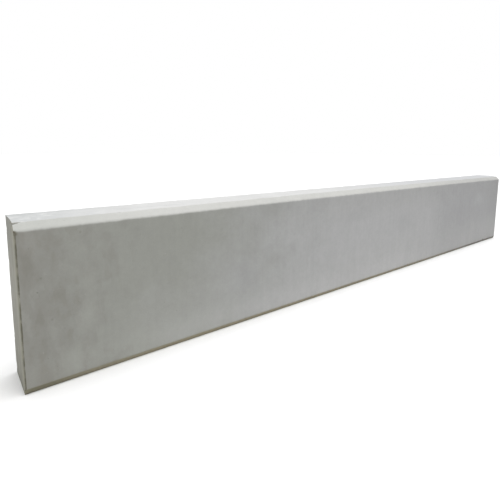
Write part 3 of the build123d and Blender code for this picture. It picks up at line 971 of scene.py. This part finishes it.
def zinc():
    """Zinc-plated steel with a blotchy passivation and cement dried on it."""
    n = Net("zinc_plated_steel")
    spangle = n.noise(260.0, 3, 0.55)
    haze = n.noise(60.0, 4, 0.6)
    col = n.mix(n.ramp(haze, 0.35, 0.65), srgb(164, 166, 168), srgb(192, 191, 184))
    col = n.mix(n.mul(n.ramp(spangle, 0.45, 0.62), 0.4), col, srgb(182, 172, 140))
    crust = n.mul(n.ramp(n.noise(150.0, 5, 0.65), 0.50, 0.60), n.ramp(n.y, 0.128, 0.140, 0.35, 1.0))
    col = n.mix(crust, col, srgb(150, 148, 140))
    rusty = n.mul(n.ramp(n.noise(95.0, 4, 0.6), 0.56, 0.66), n.ramp(n.y, 0.130, 0.139))
    col = n.mix(n.mul(rusty, 0.7), col, srgb(122, 82, 50))
    rough = n.add(n.add(0.33, n.mul(haze, 0.15)), n.mul(n.math("MAXIMUM", crust, rusty), 0.45))
    metal = n.sub(1.0, n.math("MAXIMUM", crust, n.mul(rusty, 0.8)))
    height = n.add(n.mul(spangle, 0.2), n.mul(crust, 0.8))
    return n.finish(col, rough, n.bump(height, 0.5, 0.0003), metallic=metal)


def scaled_steel(name, shift, ribs):
    """Hot-rolled steel: blue-grey mill scale, rust breaking through, and the bars' ribs in relief."""
    n = Net(name)
    moved = n.scaled(n.obj, (1, 1, 1), shift)
    broad = n.noise(9.0, 5, 0.6, vec=moved)
    fine = n.noise(85.0, 5, 0.65, vec=moved)
    grit = n.noise(700.0, 3, 0.6, vec=moved)
    rust = n.ramp(n.add(n.mul(broad, 0.55), n.mul(fine, 0.45)), 0.46, 0.58)
    scale_c = n.mix(n.ramp(fine, 0.35, 0.65), srgb(58, 61, 66), srgb(84, 86, 90))
    rust_c = n.mix(n.ramp(grit, 0.35, 0.65), srgb(104, 58, 32), srgb(146, 90, 50))
    col = n.mix(rust, scale_c, rust_c)
    dust = n.ramp(n.noise(22.0, 4, 0.6, vec=moved), 0.54, 0.70)
    col = n.mix(n.mul(dust, 0.35), col, srgb(140, 134, 122))
    rough = n.add(n.add(0.42, n.mul(rust, 0.36)), n.mul(dust, 0.12))
    metal = n.sub(0.9, n.mul(n.math("MAXIMUM", rust, n.mul(dust, 0.5)), 0.75))
    height = n.add(n.mul(rust, 0.35), n.mul(grit, 0.25))
    if ribs:
        run = n.add(n.add(n.x, n.mul(n.y, 1.0)), n.z)
        wave = n.math("SINE", n.mul(run, 2 * math.pi / 0.0085))
        height = n.add(height, n.mul(n.ramp(wave, 0.25, 0.85), 1.6))
    return n.finish(col, rough, n.bump(height, 0.7, 0.0006), metallic=metal)


def spacer():
    """Grey recycled plastic with flow marks, pale scuffs and cement film."""
    n = Net("grey_spacer_plastic")
    flow = n.noise(1.0, 4, 0.6, vec=n.scaled(n.obj, (40, 160, 40)), distort=1.2)
    fleck = n.noise(520.0, 3, 0.6)
    film = n.ramp(n.noise(70.0, 5, 0.62), 0.50, 0.68)
    col = n.mix(n.ramp(flow, 0.35, 0.65), srgb(74, 77, 80), srgb(96, 98, 100))
    col = n.mix(n.mul(n.ramp(fleck, 0.58, 0.68), 0.5), col, srgb(128, 129, 128))
    col = n.mix(n.mul(film, 0.45), col, srgb(146, 143, 134))
    rough = n.add(n.add(0.40, n.mul(flow, 0.15)), n.mul(film, 0.3))
    return n.finish(col, rough, n.bump(n.add(n.mul(flow, 0.4), n.mul(fleck, 0.2)), 0.5, 0.0004), specular=0.45)


tubes = threaded_tubes()
mat_zinc = zinc()
tubes.data.materials.append(mat_zinc)
mat_bar = scaled_steel("ribbed_bar_steel", (0, 0, 0), True)
mat_plate = scaled_steel("hot_rolled_plate", (3.7, 1.9, 5.3), False)
mat_spacer = spacer()
FINISH = {
    "bottom_corner_bars": mat_bar,
    "top_corner_bars": mat_bar,
    "front_face_bars": mat_bar,
    "back_face_bars": mat_bar,
    "shear_links": mat_bar,
    "left_end_u_bars": mat_bar,
    "right_end_u_bars": mat_bar,
    "cross_ties": mat_bar,
    "socket_cross_bars": mat_bar,
    "socket_foot_plates": mat_plate,
    "face_chairs": mat_spacer,
    "bottom_wheel_spacers": mat_spacer,
    "top_wheel_spacers": mat_spacer,
    "end_wheel_spacers": mat_spacer,
}
for node_name, mat in FINISH.items():
    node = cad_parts[node_name]
    for k in range(len(node.material_slots)):
        node.material_slots[k].material = mat

# ---------------------------------------------------------------- floor, light, camera
def flat(name, size, z, mat):
    me = bpy.data.meshes.new(name)
    s = size / 2
    me.from_pydata([(-s, -s, z), (s, -s, z), (s, s, z), (-s, s, z)], [], [(0, 1, 2, 3)])
    ob = bpy.data.objects.new(name, me)
    bpy.context.scene.collection.objects.link(ob)
    ob.data.materials.append(mat)
    return ob


fl = Net("pale_floor")
mat_floor = fl.finish(fl.mix(fl.ramp(fl.noise(0.6, 3), 0.3, 0.7), (0.86, 0.86, 0.86), (0.88, 0.88, 0.88)), 0.9, specular=0.1)
floor = flat("floor", 160, -0.0005, mat_floor)


def sun(name, direction, strength, angle, colour=(1, 1, 1)):
    d = bpy.data.lights.new(name, "SUN")
    d.energy = strength
    d.angle = math.radians(angle)
    d.color = colour
    ob = bpy.data.objects.new(name, d)
    bpy.context.scene.collection.objects.link(ob)
    ob.rotation_euler = Vector(direction).to_track_quat("-Z", "Y").to_euler()
    return ob


sun("overhead_soft", (-0.14, 0.10, -1.0), 3.6, 62)
world = bpy.data.worlds.new("studio")
world.use_nodes = True
wt = world.node_tree
bg = wt.nodes["Background"]
bg.inputs[0].default_value = (1, 1, 1, 1)
bg.inputs[1].default_value = 0.3
white = wt.nodes.new("ShaderNodeBackground")
white.inputs[0].default_value = (1, 1, 1, 1)
white.inputs[1].default_value = 1.0
seen = wt.nodes.new("ShaderNodeLightPath")
pick = wt.nodes.new("ShaderNodeMixShader")
wt.links.new(seen.outputs["Is Camera Ray"], pick.inputs[0])
wt.links.new(bg.outputs[0], pick.inputs[1])
wt.links.new(white.outputs[0], pick.inputs[2])
wt.links.new(pick.outputs[0], wt.nodes["World Output"].inputs[0])
bpy.context.scene.world = world
bpy.context.scene.view_settings.view_transform = "Standard"

H = 0.9
F = dict(px=-0.2636, py=-2.3819, pz=1.3938, yaw=0.6677, pitch=-0.1275, roll=0.0058, f=387.11, cx=250.0, cy=199.24)
cy_, sy_ = math.cos(F["yaw"]), math.sin(F["yaw"])
cp_, sp_ = math.cos(F["pitch"]), math.sin(F["pitch"])
fwd = np.array([sy_ * cp_, cy_ * cp_, sp_])
right = np.array([cy_, -sy_, 0.0])
up = np.cross(right, fwd)
r2 = right * math.cos(F["roll"]) + up * math.sin(F["roll"])
u2 = -right * math.sin(F["roll"]) + up * math.cos(F["roll"])
cam_data = bpy.data.cameras.new("photo_camera")
cam = bpy.data.objects.new("photo_camera", cam_data)
bpy.context.scene.collection.objects.link(cam)
cam_data.sensor_width = 36.0
cam_data.lens = F["f"] / 500 * 36.0
cam_data.shift_x = (250.0 - F["cx"]) / 500
cam_data.shift_y = (F["cy"] - 250.0) / 500
cam_data.clip_end = 400
at = (F["px"] * H + X0, F["py"] * H + Y0, F["pz"] * H)
cam.matrix_world = Matrix(
    (
        (r2[0], u2[0], -fwd[0], at[0]),
        (r2[1], u2[1], -fwd[1], at[1]),
        (r2[2], u2[2], -fwd[2], at[2]),
        (0, 0, 0, 1),
    )
)
bpy.context.scene.camera = cam
